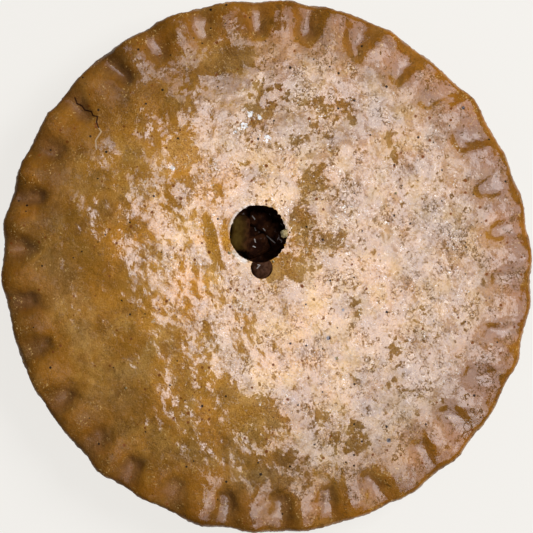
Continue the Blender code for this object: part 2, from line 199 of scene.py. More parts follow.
# The painted white highlights, the loose crumbs and the largest specks: x, y, radius
WHITE_HIGHLIGHTS = in_metres(
    3,
    (-7.5, 68.7, 1.7),
    (-2.9, 67, 1.3),
    (-10.3, 63, 1.9),
    (-13.8, 60.2, 1.3),
    (0.4, 57.4, 2.2),
    (-42, 44.7, 1.5),
    (6.3, 13.1, 0.6),
)
CRUMBS = in_metres(
    3,
    (7.6, 14.6, 1.7),
    (-17, 6, 0.6),
    (2.6, 2.2, 0.5),
    (31, -41, 0.6),
    (58, 33, 0.5),
    (-64, -55, 0.5),
)
BIG_SPECKS = in_metres(
    3,
    (27.7, -32.1, 1.1),
    (34.3, -19.4, 0.8),
    (55, -78.3, 1.2),
    (88.7, 71.5, 0.9),
    (-2.6, -93.5, 0.8),
)

# The crack in the rim from its outer end inwards, and the pale line that goes on from its end
CRACK = in_metres(
    2, (-86.6, 76.2), (-85.6, 73.6), (-83.4, 72.6), (-82.1, 70.7), (-79, 69.9), (-78.2, 68),
    (-76.2, 67.6), (-76.6, 65.2), (-75.7, 62.6),
)
CRACK_HALF_WIDTH = 0.42 * MM
CRACK_TAIL = in_metres(
    2, (-75.7, 62.6), (-74.4, 60.8), (-76.9, 56.8), (-76.6, 52.8),
)
# Where pale pastry shows along the vent's torn edge: width, direction and half angle in degrees,
# how much
TORN_EDGES = in_metres(
    1,
    (1.6, 135, 45, 0.75),
    (2.6, 232, 22, 0.9),
    (1.3, 18, 14, 0.6),
)
# Pale threads of light on the filling and on the drop
THREADS = (
    in_metres(2, (-6.4, 22.9), (-5.3, 21.4)),
    in_metres(2, (-1.4, 17.1), (-0.6, 16.2)),
    in_metres(2, (0.2, 13.8), (3.8, 10.7)),
    in_metres(2, (-5.4, 12.4), (-5, 11)),
    in_metres(2, (-5.3, 17.6), (-4.9, 16.4)),
    in_metres(2, (-6, 9.2), (-5, 8.7)),
)
THREAD_HALF_WIDTH = 0.3 * MM
DROP_THREAD = in_metres(2, (-4.2, -0.8), (-3, 0.6), (-3.9, 0.8))
DROP_THREAD_HALF_WIDTH = 0.28 * MM

# Baking and hand work that only the fine crust shows: length and height of its unevenness, and
# the octaves of detail in it
FINE_RELIEF = ((11.0 * MM, 0.34 * MM, 3), (3.2 * MM, 0.12 * MM, 2))
EDGE_ROUGHNESS = 1.6  # how much rougher the rim's edge is than the lid
CRUMBLE_LENGTH = 1.6 * MM
DROOP_REACH = 7.0 * MM
RELIEF_FADE = 6.0 * MM  # how far inside the crimps the lid's relief starts to fade
# How the lid turns down at the vent, and has sunk on its left side
LIP_REACH = 8.0 * MM
LIP_DEPTH = 0.25 * MM
LIP_LENGTH = 0.9 * MM
SUNK_DEPTH = 1.5 * MM
SUNK_LENGTH = 2.4 * MM
SUNK_SIDE = radians(182.0)
DOME_HEIGHT = 2.8 * MM  # of the syrup drop's rounded top

# Places on the lid: x, y, what happens there is full within this radius, none beyond this one
PALE_MIDDLE = (-16.0 * MM, -8.0 * MM, 30.0 * MM, 98.0 * MM)
# Where the painted highlights show most
HIGHLIT_PLACE = (25.0 * MM, 5.0 * MM, 60.0 * MM, 105.0 * MM)
DARK_PLACE = (-45.0 * MM, 84.0 * MM, 8.0 * MM, 26.0 * MM)
DARK_STRETCH = 1.6  # how much longer the dark place is than wide
PALE_GAIN = 0.55
DARK_LOSS = 0.16
# Painted shade on the side turned from the lamps, more at its outer edge
SHADED_SIDE_LOSS = 0.07
SHADED_EDGE_LOSS = 0.30
RISING_GLAZE = 0.40  # how much thicker the glaze gets from left to right
RISE_REACH = (-15.0 * MM, 25.0 * MM)  # the stretch of x over which it does
SHONE_REACH = (-35.0 * MM, 5.0 * MM)  # and over which it comes to mirror the panels
REDDEST_SIDE = radians(15)
# The side where the glaze has baked dry and where shade is painted
DULL_AND_SHADED_SIDE = radians(190)
# How the patches' outlines are warped: size of the waves and how far they reach, in millimetres
PATCH_WARPS = ((7.0, 2.6), (2.2, 1.3))

# How finely the round shapes are cut up
TOP_CELLS = 250  # along each side of the square grid that becomes the round top
VENT_FINE_REACH = 17.0 * MM
CAVITY_STEPS = 90
VENT_STEPS = 192
MERGE = 0.00001

# The photograph's view and the set
VIEW_DISTANCE = 1.0
VIEW_WIDTH = 241.4 * MM  # what the frame spans at the rim
PANEL_HEIGHT = 1.2
PANEL_SIDE = 24.0  # degrees, the side from which the light comes
PANEL_START = 0.17  # how far the panels reach past the middle, in panel heights
# The panels: name, width, lower and upper end in panel heights, radiance, how much lower it hangs,
# colour
PANELS = (
    ("panel", 1.10, -0.91, 0.59, 3.7, 0, (1, 0.89, 0.98)),
    ("near_panel", 0.56, -0.46, 0.34, 4.4, 0.01, (1, 0.985, 1)),
)
KEY_HEIGHT = 46.0  # degrees above the floor
KEY_DISTANCE = 1.5
KEY_SIZE = 0.7
# The glint on the syrup drop: its place and size in panel heights, and its radiance
GLINT_PLACE = (0.08, 0.05, 0.99)
GLINT_SIZE = 0.02
GLINT_RADIANCE = 40.0


def smooth_step(low, high, value):
    """0 at low, 1 at high, level beyond them and an S-curve between."""
    share = min(1.0, max(0.0, (value - low) / (high - low)))
    return share * share * (3.0 - 2.0 * share)


def lid_height(radius):
    """The height of the smooth lid at this radius, before crimps and relief."""
    return RIM_TOP + LID_RISE * (1.0 - (radius / LID_RADIUS) ** 2)


def press_share(direction):
    """How firmly the rim is pressed in this direction, about 1."""
    return 1.0 - SHALLOW_SWING * cos(direction - SHALLOW_SIDE)


def make_crimps():
    """One (direction, half width, depth, slant, lean, bulge) for each crimp, pressed by hand."""
    draw = random.Random(CRIMP_SEED)
    pitch = 2.0 * pi / CRIMP_COUNT
    crimps = []
    for index in range(CRIMP_COUNT):
        direction = FIRST_CRIMP + pitch * index + radians(draw.uniform(-0.9, 0.9))
        half_width = CRIMP_HALF_WIDTH * draw.uniform(0.86, 1.14)
        depth = CRIMP_DEPTH * press_share(direction) * draw.uniform(0.7, 1.2)
        slant = radians(draw.uniform(-9.0, 9.0))
        lean = draw.uniform(-CRIMP_LEAN, CRIMP_LEAN)
        bulge = RIDGE_BULGE * draw.uniform(0.0, 2.0)
        crimps.append((direction, half_width, depth, slant, lean, bulge))
    return crimps


CRIMPS = make_crimps()


def crimp_at(radius, direction):
    """(depth, ridge, bulge) here: depth and bulge in metres, ridge from 0 to 1."""
    pitch = 2.0 * pi / CRIMP_COUNT
    length = CRIMP_LENGTH + LENGTH_SWING * cos(direction - SHALLOW_SIDE)
    inner_end = RIM_RADIUS - length
    if radius < inner_end - RIDGE_FADE:
        return 0.0, 0.0, 0.0
    here = Vector((cos(direction), sin(direction), 0.0)) * radius / CRIMP_WARP_LENGTH
    sideways = CRIMP_WARP * noise.fractal(here, 1.0, 2.0, 3)
    inwards = CRIMP_WARP * noise.fractal(here + Vector((0.0, 0.0, 6.0)), 1.0, 2.0, 3)
    nearest = round((direction - FIRST_CRIMP) / pitch) % CRIMP_COUNT
    depth = 0.0
    for index in (nearest - 1, nearest, (nearest + 1) % CRIMP_COUNT):
        middle, half_width, full_depth, slant, lean, bulge = CRIMPS[index]
        turn = remainder(direction - middle, 2.0 * pi)
        across = turn * radius - tan(slant) * (radius - RIM_RADIUS) + sideways
        widening = min(1.0, max(0.0, (radius - inner_end) / length))
        width = half_width * (CRIMP_INNER_SHARE + (1.0 - CRIMP_INNER_SHARE) * widening)
        floor = CRIMP_FLOOR_SHARE * (1.0 + copysign(lean, across))
        section = 1.0 - smooth_step(floor, 1.0, abs(across) / width)
        way = radius + inwards
        start = smooth_step(inner_end - CRIMP_FADE, inner_end + CRIMP_FADE, way)
        fall = smooth_step(inner_end + CRIMP_FADE, RIM_RADIUS, way)
        along = start * (1.0 - (1.0 - CRIMP_EDGE_SHARE) * fall)
        depth = max(depth, full_depth * section * along)
    turn = (direction - FIRST_CRIMP) % (2.0 * pi)
    on_rim = smooth_step(inner_end - RIDGE_FADE, RIM_RADIUS, radius)
    ridge = 0.5 * (1.0 - cos(turn * CRIMP_COUNT)) * on_rim
    bulge = CRIMPS[int(turn / pitch) % CRIMP_COUNT][5]
    return depth, ridge, bulge


def along_and_across(x, y, direction):
    """Splits an offset into its part along a direction in degrees and its part across it."""
    angle = radians(direction)
    return x * cos(angle) + y * sin(angle), y * cos(angle) - x * sin(angle)


def lid_relief(x, y):
    """How far the lid stands above its smooth form, away from the crimps."""
    near = Vector((x, y, 0.0)) / SWELL_LENGTH
    height = SWELL_HEIGHT * noise.noise(near + Vector((3.7, 1.9, 0.0)))
    height += 0.4 * SWELL_HEIGHT * noise.noise(near * 2.3 + Vector((0.0, 8.1, 2.0)))
    for mark_x, mark_y, half_length, half_width, rise, direction in LID_MARKS:
        along, across = along_and_across(x - mark_x, y - mark_y, direction)
        spread = (along / half_length) ** 2 + (across / half_width) ** 2
        height += rise * exp(-1.6 * spread)
    return height


def outline_shift(direction):
    """How far the outline stands outside a circle in this direction."""
    way = Vector((cos(direction), sin(direction), 0.0))
    wobble = noise.noise(way * 2.2 + Vector((5.0, 0.0, 7.0)))
    return OVAL_SWING * cos(2.0 * (direction - OVAL_AXIS)) + OUTLINE_WOBBLE * wobble


def rough(place, octaves):
    """Fractal noise about 0, each of its octaves half as large and half as high."""
    return noise.fractal(place, 1.0, 2.0, octaves)


def fine_relief(place):
    """The small unevenness of rolled and baked pastry."""
    return sum(height * rough(place / length, octaves) for length, height, octaves in FINE_RELIEF)


def droop(point, radius):
    """How far the rim's outer edge sinks here."""
    share = max(0.0, 0.5 + noise.noise(point / DROOP_LENGTH))
    return DROOP * share * smooth_step(RIM_RADIUS - DROOP_REACH, RIM_RADIUS, radius)


def polar(point):
    """(radius, direction) of a point about the tart's middle."""
    return hypot(point.x, point.y), atan2(point.y, point.x)


def from_vent(point):
    """(distance outside the vent's edge, direction) of a point about the vent's middle."""
    offset_x = point.x - VENT_X
    offset_y = point.y - VENT_Y
    return hypot(offset_x, offset_y) - VENT_RADIUS, atan2(offset_y, offset_x)


def vent_lip(point):
    """How far the lid has sunk towards the vent's edge, most on the left."""
    away, direction = from_vent(point)
    if away > LIP_REACH:
        return 0.0
    left = max(0.0, cos(direction - SUNK_SIDE)) ** 3
    close = exp(-max(0.0, away) / LIP_LENGTH)
    wide = exp(-((max(0.0, away) / SUNK_LENGTH) ** 2))
    return LIP_DEPTH * close + SUNK_DEPTH * left * wide


def shaped(point):
    """Moves a point of the plain turned tart to where hand work and baking have brought it."""
    radius, direction = polar(point)
    radius = max(radius, MERGE)
    above = smooth_step(RIM_UNDERSIDE, RIM_TOP - 1.0 * MM, point.z)
    depth, ridge, bulge = crimp_at(radius, direction)
    inside_rim = 1.0 - smooth_step(RIM_RADIUS - CRIMP_LENGTH - RELIEF_FADE, RIM_RADIUS, radius)
    lift = above * (RIDGE_HEIGHT * press_share(direction) * ridge - depth)
    lift += above * lid_relief(point.x, point.y) * inside_rim
    lift += above * (fine_relief(Vector((point.x, point.y, 0.0))) - vent_lip(point))
    lift -= above * droop(point, radius)
    outward = outline_shift(direction) * (radius / RIM_RADIUS) ** 2
    swelling = bulge * ridge - 0.5 * RIDGE_BULGE
    outward += swelling * smooth_step(LID_RADIUS, RIM_RADIUS, radius)
    edge_relief = EDGE_ROUGHNESS * fine_relief(point)
    edge_relief += EDGE_CRUMBLE * rough(point / CRUMBLE_LENGTH, 2)
    outward += edge_relief * smooth_step(LID_RADIUS, RIM_RADIUS, radius)
    if point.z > MERGE:
        outward += edge_relief * (1.0 - above)
    stretch = 1.0 + outward / radius
    return Vector((point.x * stretch, point.y * stretch, point.z + lift))


# ---- Building helpers ----


def link(obj):
    """Puts a new object in the scene."""
    bpy.context.scene.collection.objects.link(obj)
    return obj


def object_of(form, name):
    """Turns a bmesh into an object in the scene."""
    mesh = bpy.data.meshes.new(name)
    form.to_mesh(mesh)
    form.free()
    return link(bpy.data.objects.new(name, mesh))


def set_mesh_to_evaluated(obj):
    """Applies an object's modifiers."""
    bpy.context.view_layer.update()
    evaluated = obj.evaluated_get(bpy.context.evaluated_depsgraph_get())
    obj.data = bpy.data.meshes.new_from_object(evaluated)
    obj.modifiers.clear()


def turned_solid(name, profile, steps):
    """A solid of revolution about +Z. Its (radius, height) points run down the outer side."""
    mesh = bpy.data.meshes.new(name)
    points = [(radius, 0.0, height) for radius, height in profile]
    mesh.from_pydata(points, [(i, i + 1) for i in range(len(points) - 1)], [])
    obj = link(bpy.data.objects.new(name, mesh))
    screw = obj.modifiers.new("turn", "SCREW")
    screw.steps = screw.render_steps = steps
    screw.use_merge_vertices = True
    screw.merge_threshold = MERGE
    set_mesh_to_evaluated(obj)
    return obj


def combine(obj, others, operation):
    """Cuts obj by the others, or joins them to it, and removes them."""
    for other in others:
        boolean = obj.modifiers.new(operation.lower(), "BOOLEAN")
        boolean.operation = operation
        boolean.object = other
        boolean.solver = "MANIFOLD"
    set_mesh_to_evaluated(obj)
    for other in others:
        bpy.data.objects.remove(other)


def finish_piece(obj, shift, material, node=None):
    """Moves a piece to the frame's place, gives it its looks and ties it to the frame."""
    obj.data.transform(shift)
    obj.data.materials.clear()
    obj.data.materials.append(material)
    obj.data.shade_smooth()
    obj.data.set_sharp_from_angle(angle=radians(50.0))
    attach(obj, "root")
    if node:
        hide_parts(node)


def spaced(low, high, count):
    """count numbers from just past low to high."""
    return [low + (high - low) * (step + 1) / count for step in range(count)]


# ---- The crust ----

EDGE_HEIGHT = (RIM_TOP + RIM_UNDERSIDE) / 2.0
HALF_EDGE = (RIM_TOP - RIM_UNDERSIDE) / 2.0
EDGE_START = radians(72.0)
LID_REACH = RIM_RADIUS - EDGE_DEPTH * (1.0 - cos(EDGE_START))
TOP_REACH = LID_REACH + 3.8 * MM  # the way along the top from its middle to its outermost point


def top_section(along):
    """(radius, height) on the tart's top, this far along its section from the middle."""
    if along <= LID_REACH:
        return along, lid_height(along)
    angle = EDGE_START * (TOP_REACH - along) / (TOP_REACH - LID_REACH)
    return edge_section(angle)


def edge_section(angle):
    """(radius, height) on the rim's rounded edge."""
    radius = RIM_RADIUS - EDGE_DEPTH * (1.0 - cos(angle))
    return radius, EDGE_HEIGHT + HALF_EDGE * sin(angle)


def lower_section():
    """(radius, height) from just under the rim's outermost point to the base's edge."""
    points = [edge_section(angle) for angle in spaced(0.0, -EDGE_START, 4)]
    inner = WALL_TOP_RADIUS + 1.0 * MM
    points += [(radius, RIM_UNDERSIDE) for radius in spaced(LID_REACH, inner, 6)]
    points.append((WALL_TOP_RADIUS, RIM_UNDERSIDE - 0.6 * MM))
    wall = spaced(0.0, 1.0, 8)
    drop = RIM_UNDERSIDE - 2.8 * MM
    lean = WALL_TOP_RADIUS - WALL_FOOT_RADIUS
    points += [
        (WALL_TOP_RADIUS - lean * share, RIM_UNDERSIDE - 0.6 * MM - drop * share) for share in wall
    ]
    points.append((BASE_RADIUS + 1.2 * MM, 0.4 * MM))
    points.append((BASE_RADIUS, 0.0))
    return points


def disc_place(u, v):
    """(share of the radius, direction) for a place in the square -1 to 1, cells kept even."""
    if abs(u) < MERGE and abs(v) < MERGE:
        return 0.0, 0.0
    if abs(u) > abs(v):
        return abs(u), atan2(0.0, u) + pi / 4.0 * v / u
    return abs(v), atan2(v, 0.0) - pi / 4.0 * u / v


def plain_crust_form():
    """The tart's outside before shaping, as a bmesh: a round top grid with rings below it."""
    form = bmesh.new()
    bmesh.ops.create_grid(form, x_segments=TOP_CELLS, y_segments=TOP_CELLS, size=1.0)
    for vert in form.verts:
        share, direction = disc_place(vert.co.x, vert.co.y)
        radius, height = top_section(TOP_REACH * share)
        vert.co = (radius * cos(direction), radius * sin(direction), height)
    near_vent = [
        edge
        for edge in form.edges
        if all(
            hypot(vert.co.x - VENT_X, vert.co.y - VENT_Y) < VENT_FINE_REACH
            for vert in edge.verts
        )
    ]
    rim = [edge for edge in form.edges if edge.is_boundary]
    for radius, height in lower_section():
        grown = bmesh.ops.extrude_edge_only(form, edges=rim)["geom"]
        rim = [item for item in grown if isinstance(item, bmesh.types.BMEdge)]
        for vert in [item for item in grown if isinstance(item, bmesh.types.BMVert)]:
            stretch = radius / hypot(vert.co.x, vert.co.y)
            vert.co = (vert.co.x * stretch, vert.co.y * stretch, height)
    bmesh.ops.subdivide_edges(form, edges=near_vent, cuts=2, use_grid_fill=True)
    bmesh.ops.holes_fill(form, edges=[edge for edge in form.edges if edge.is_boundary])
    bmesh.ops.recalc_face_normals(form, faces=form.faces)
    return form


def cavity_profile(inset):
    """The space inside the pastry, drawn in by inset, from the lid down to the base."""
    edge = WALL_TOP_RADIUS - 1.0 * MM - inset
    rings = (0.0, 25.0 * MM, 48.0 * MM, 70.0 * MM, 87.0 * MM)
    profile = [(ring, lid_height(ring) - LID_THICKNESS - inset) for ring in rings]
    profile.append((edge - 1.0 * MM, lid_height(edge) - LID_THICKNESS - 0.6 * MM - inset))
    profile.append((edge, lid_height(edge) - LID_THICKNESS - 2.0 * MM - inset))
    wall_foot = WALL_FOOT_RADIUS - WALL_THICKNESS - inset
    profile.append((wall_foot + 1.0 * MM, WALL_THICKNESS + 2.0 * MM + inset))
    profile.append((wall_foot - 1.0 * MM, WALL_THICKNESS + inset))
    profile.append((0.0, WALL_THICKNESS + inset))
    return profile


def vent_radius(direction, height):
    """The vent's radius here: fluted by the cutter, torn a little, uneven down its wall."""
    way = Vector((cos(direction), sin(direction), 0.0))
    torn = TORN_SWING * noise.noise(way * 1.7 + Vector((1.0, 4.0, 0.0)))
    kept = 0.55 + 1.1 * noise.noise(way * 2.6 + Vector((0.0, 3.0, 1.0))) + 0.35 * way.x
    flute = FLUTE_DEPTH * max(0.0, kept) * abs(sin(direction * VENT_FLUTES / 2.0))
    crumbled = rough(way * 8.0 + Vector((0.0, 0.0, height * 500.0)), 3)
    return VENT_RADIUS + flute + torn + CRUMBLE_DEPTH * crumbled


def make_vent_cutter():
    """The vent as a solid to cut with."""
    roof = lid_height(0.0) + 6.0 * MM
    floor = POCKET_FLOOR + 2.0 * MM
    lid_top = lid_height(0.0) + 1.0 * MM
    lid_bottom = lid_height(0.0) - LID_THICKNESS - 1.0 * MM
    heights = [roof] + spaced(lid_top, lid_bottom, 9) + [floor]
    profile = [(0.0, roof)] + [(VENT_RADIUS, height) for height in heights] + [(0.0, floor)]
    cutter = turned_solid("vent_cutter", profile, VENT_STEPS)
    for vert in cutter.data.vertices:
        reach, direction = polar(vert.co)
        if reach > MERGE:
            radius = vent_radius(direction, vert.co.z)
            vert.co.x = radius * cos(direction)
            vert.co.y = radius * sin(direction)
    cutter.location = (VENT_X, VENT_Y, 0.0)
    return cutter


def make_notch_cutter():
    """The round notch beside the vent."""
    roof = lid_height(0.0) + 6.5 * MM
    floor = POCKET_FLOOR + 2.5 * MM
    profile = [(0.0, roof), (NOTCH_RADIUS, roof), (NOTCH_RADIUS, floor), (0.0, floor)]
    cutter = turned_solid("notch_cutter", profile, 48)
    cutter.location = (NOTCH_X, NOTCH_Y, 0.0)
    return cutter


def add_point_values(obj, name, value_at, under_rim=None):
    """Stores value_at(point) on a mesh's points for its material, or one value under the rim."""
    values = [
        value_at(vert.co) if under_rim is None or vert.co.z > RIM_UNDERSIDE else under_rim
        for vert in obj.data.vertices
    ]
    obj.data.attributes.new(name, "FLOAT", "POINT").data.foreach_set("value", values)


def patch_sum(point, patches):
    """The amounts of the ragged oval patches that lie over this point, added up."""
    warp = Vector()
    for size, reach in PATCH_WARPS:
        warp += noise.noise_vector(point / (size * MM)) * reach * MM
    place = point + warp
    total = 0.0
    for x, y, half_length, half_width, direction, amount in patches:
        along, across = along_and_across(place.x - x, place.y - y, direction)
        away = hypot(along / half_length, across / half_width)
        total += amount * smooth_step(1.5, 0.5, away)
    return total


def glaze_extra(point):
    """How much thicker the glaze lies here than on the rest of the lid, from -1 to 1."""
    rise = RISING_GLAZE * smooth_step(*RISE_REACH, point.x)
    return patch_sum(point, GLAZE_PATCHES) + rise


def near_share(point, place, stretch=1.0):
    """1 near a place on the lid, falling to 0 away from it. It may be longer along x."""
    x, y, full_radius, none_radius = place
    away = hypot((point.x - x) / stretch, point.y - y)
    return smooth_step(none_radius, full_radius, away)


def brightness(point):
    """How much paler the lid has baked here than its edge, most round the middle, with painted
    shade on the side and outer edge turned from the lamps.
    """
    radius, direction = polar(point)
    # Painted shade on the side turned from the lamps
    left = smooth_step(-0.2, 0.6, cos(direction - DULL_AND_SHADED_SIDE))
    edge = smooth_step(RIM_RADIUS - 7.0 * MM, RIM_RADIUS - 1.0 * MM, radius)
    loss = SHADED_EDGE_LOSS * left * edge + SHADED_SIDE_LOSS * left
    loss += DARK_LOSS * near_share(point, DARK_PLACE, DARK_STRETCH)
    middle = 1.0 + PALE_GAIN * near_share(point, PALE_MIDDLE)
    return (middle + patch_sum(point, BAKED_PATCHES)) * (1.0 - loss)


def torn_share(point):
    """0 to 1: how pale the torn pastry is here, along the vent's left edge."""
    away, angle = from_vent(point)
    direction = degrees(angle) % 360.0
    share = 0.0
    for width, middle, half_angle, amount in TORN_EDGES:
        near = smooth_step(width, 0.4 * width, away)
        aside = abs(direction - middle)
        share = max(share, amount * near * smooth_step(half_angle, 0.6 * half_angle, aside))
    return share


def shone_share(point):
    """0 to 1: how far this point lies on the side where the glaze mirrors the panel."""
    return smooth_step(*SHONE_REACH, point.x)


def highlit_share(point):
    """0 to 1: how many painted highlights may show here, most right of the middle."""
    return near_share(point, HIGHLIT_PLACE)


def groove_share(point):
    """0 to 1: how deep in a crimp this point of the rim lies."""
    depth, _, _ = crimp_at(*polar(point))
    return min(1.0, depth / CRIMP_DEPTH)


def rim_share(point):
    """How browned this point is: 0 on the lid, more at the rim, most on one side."""
    radius, direction = polar(point)
    side = 0.88 + 0.12 * cos(direction - REDDEST_SIDE)
    return side * smooth_step(RIM_RADIUS - 1.9 * CRIMP_LENGTH, RIM_RADIUS - 8.0 * MM, radius)


def dull_share(point):
    """0 to 1: how far the glaze has baked dry here, towards the darkest side of the rim, where
    shade is painted.
    """
    radius, direction = polar(point)
    side = cos(direction - DULL_AND_SHADED_SIDE)
    share = max(smooth_step(0.25, 0.6, side), 0.5 - 0.2 * smooth_step(0.3, 0.8, -side))
    return share * smooth_step(85.0 * MM, 98.0 * MM, radius)


def make_crust(shift):
    """The whole pastry case and lid in fine detail, hollow where the filling lies."""
    form = plain_crust_form()
    for vert in form.verts:
        vert.co = shaped(vert.co)
    crust = object_of(form, "baked_crust")
    cavity = turned_solid("cavity", cavity_profile(0.0), CAVITY_STEPS)
    combine(crust, [cavity, make_vent_cutter(), make_notch_cutter()], "DIFFERENCE")
    for name, share, under_rim in (
        ("glaze", glaze_extra, 0.0),
        ("brightness", brightness, 1.0),
        ("torn", torn_share, 0.0),
        ("highlit", highlit_share, 0.0),
        ("shone", shone_share, 0.0),
        ("groove", groove_share, 0.0),
        ("rim", rim_share, 0.8),
        ("dull", dull_share, 1.0),
    ):
        add_point_values(crust, name, share, under_rim)
    finish_piece(crust, shift, make_pastry(), "crust")


# ---- The filling ----


def make_pocket():
    """The hollow under the vent, with the wrinkled surface of set syrup as its floor."""
    roof = lid_height(0.0) + 5.0 * MM
    flat = POCKET_RADIUS - POCKET_LIP
    profile = [(0.0, roof), (POCKET_RADIUS, roof), (POCKET_RADIUS, POCKET_FLOOR + POCKET_LIP)]
    profile.append((flat, POCKET_FLOOR))
    profile += [(radius, POCKET_FLOOR - 0.6 * MM) for radius in spaced(flat, 0.0, 20)]
    pocket = turned_solid("pocket_cutter", profile, 72)
    for vert in pocket.data.vertices:
        if vert.co.z < POCKET_FLOOR + MERGE:
            vert.co.z += 0.7 * MM * rough(vert.co / (4.0 * MM), 3)
    pocket.location = (VENT_X, VENT_Y, 0.0)
    return pocket


def make_apple_piece(index, piece):
    """One soft-edged slice of cooked apple."""
    x, y, height = piece[:3]
    form = bmesh.new()
    bmesh.ops.create_cube(form, size=1.0)
    bmesh.ops.scale(form, vec=piece[3:6], verts=form.verts)
    bmesh.ops.bevel(
        form, geom=form.edges, offset=APPLE_ROUNDING, segments=4, profile=0.5, affect="EDGES"
    )
    bmesh.ops.triangulate(form, faces=form.faces)
    bmesh.ops.subdivide_edges(form, edges=form.edges, cuts=5, use_grid_fill=True)
    for vert in form.verts:
        lump = rough(vert.co / (4.5 * MM) + Vector((index, 0.0, 0.0)), 3)
        vert.co += 0.9 * MM * lump * vert.co.normalized()
    apple = object_of(form, f"apple_piece_{index}")
    apple.rotation_euler = Euler([radians(tilt) for tilt in piece[6:]])
    apple.location = (VENT_X + x, VENT_Y + y, height)
    return apple


def slice_share(point):
    """0 to 1: how much of the pale slice's flesh shows here."""
    x, y = VENT_X + APPLE_PIECES[0][0], VENT_Y + APPLE_PIECES[0][1]
    ragged = 1.6 * MM * rough(point / (4.0 * MM), 3)
    across = smooth_step(4.6 * MM, -0.5 * MM, point.x - x + ragged)
    return across * smooth_step(9.0 * MM, 6.5 * MM, abs(point.y - y + ragged))


def make_filling(shift):
    """Apple in dark syrup, sunk a little below the vent."""
    filling = turned_solid("apple_filling", cavity_profile(PIECE_GAP), CAVITY_STEPS)
    combine(filling, [make_pocket()], "DIFFERENCE")
    pieces = [make_apple_piece(index, piece) for index, piece in enumerate(APPLE_PIECES)]
    combine(filling, pieces, "UNION")
    add_point_values(filling, "slice", slice_share)
    finish_piece(filling, shift, make_apple_filling(), "filling")


def make_crumbs(shift):
    """Loose crumbs of pastry on the lid, the largest at the vent's edge."""
    form = bmesh.new()
    for index, (x, y, radius) in enumerate(CRUMBS):
        rest = shaped(Vector((x, y, lid_height(hypot(x, y)))))
        middle = rest + Vector((0.0, 0.0, 0.5 * radius))
        made = bmesh.ops.create_icosphere(form, subdivisions=3, radius=radius)
        for vert in made["verts"]:
            place = vert.co / (0.9 * radius) + Vector((index, 0.0, 0.0))
            vert.co *= 1.0 + 0.45 * rough(place, 3)
            vert.co += middle
    finish_piece(object_of(form, "loose_crumbs"), shift, make_crumb_paint())


def make_drop(shift):
    """The domed drop of syrup in the notch."""
    foot = lid_height(0.0) - LID_THICKNESS
    top = lid_height(0.0) + DROP_HEIGHT
    radius = NOTCH_RADIUS
    dome = [radians(step) for step in range(0, 91, 6)]
    profile = [
        (radius * sin(angle), top - DOME_HEIGHT * (1.0 - cos(angle))) for angle in dome
    ]
    profile += [(radius, foot + 0.8 * MM), (0.88 * radius, foot), (0.0, foot)]
    drop = turned_solid("set_syrup_drop", profile, 56)
    for vert in drop.data.vertices:
        reach, direction = polar(vert.co)
        lobe = DROP_LOBE_SIZE * (reach / radius) ** 2 * sin(DROP_LOBES * direction + 0.6)
        stretch = 1.0 + lobe / radius
        wrinkle = 0.16 * MM * rough(vert.co / (2.6 * MM), 2)
        vert.co = (vert.co.x * stretch, vert.co.y * stretch, vert.co.z + wrinkle)
    drop.data.transform(Matrix.Translation((NOTCH_X, NOTCH_Y, 0.0)))
    combine(drop, [make_vent_cutter()], "DIFFERENCE")
    finish_piece(drop, shift, make_syrup(), "syrup_drop")


# ---- Materials ----

GOLDEN = (0.300, 0.125, 0.012)
HONEY = (0.390, 0.215, 0.050)
OLIVE = (0.275, 0.124, 0.014)
ASHEN = (0.270, 0.160, 0.060)
BROWN = (0.135, 0.050, 0.006)
LINE_BROWN = (0.175, 0.078, 0.014)
CREAM = (0.500, 0.320, 0.120)
TOAST = (0.235, 0.084, 0.006)
# Toasted colour with painted shade, for the crimps' grooves
GROOVE_TOAST_AND_SHADE = (0.150, 0.072, 0.034)
# Colour of the painted golden sparkles
AMBER_SPARKLE = (0.720, 0.470, 0.170)
# Colour of the painted highlight flecks
FLECK_HIGHLIGHT = (0.800, 0.740, 0.640)
# Colour of the painted highlight curls along the glaze's borders
CURL_HIGHLIGHT = (0.620, 0.450, 0.290)
TORN = (0.560, 0.500, 0.430)
# Colour of the painted white highlights
HIGHLIGHT_WHITE = (0.740, 0.740, 0.740)
THREAD = (0.300, 0.280, 0.270)
RUST = (0.170, 0.052, 0.008)
SPECK = (0.018, 0.010, 0.006)
CRACK_COLOUR = (0.030, 0.010, 0.004)
CRACK_TAIL_COLOUR = (0.420, 0.280, 0.160)
DRY_CRUMB = ((0.22, 0.15, 0.05), (0.42, 0.36, 0.20))
# The apple's brown darkened to near black with painted shade
DARK_APPLE_AND_SHADE = ((0.014, 0.005, 0.003), (0.040, 0.014, 0.006))
SLICE_FLESH = ((0.040, 0.021, 0.004), (0.062, 0.037, 0.008))
SET_SYRUP = ((0.030, 0.012, 0.006), (0.066, 0.030, 0.017))

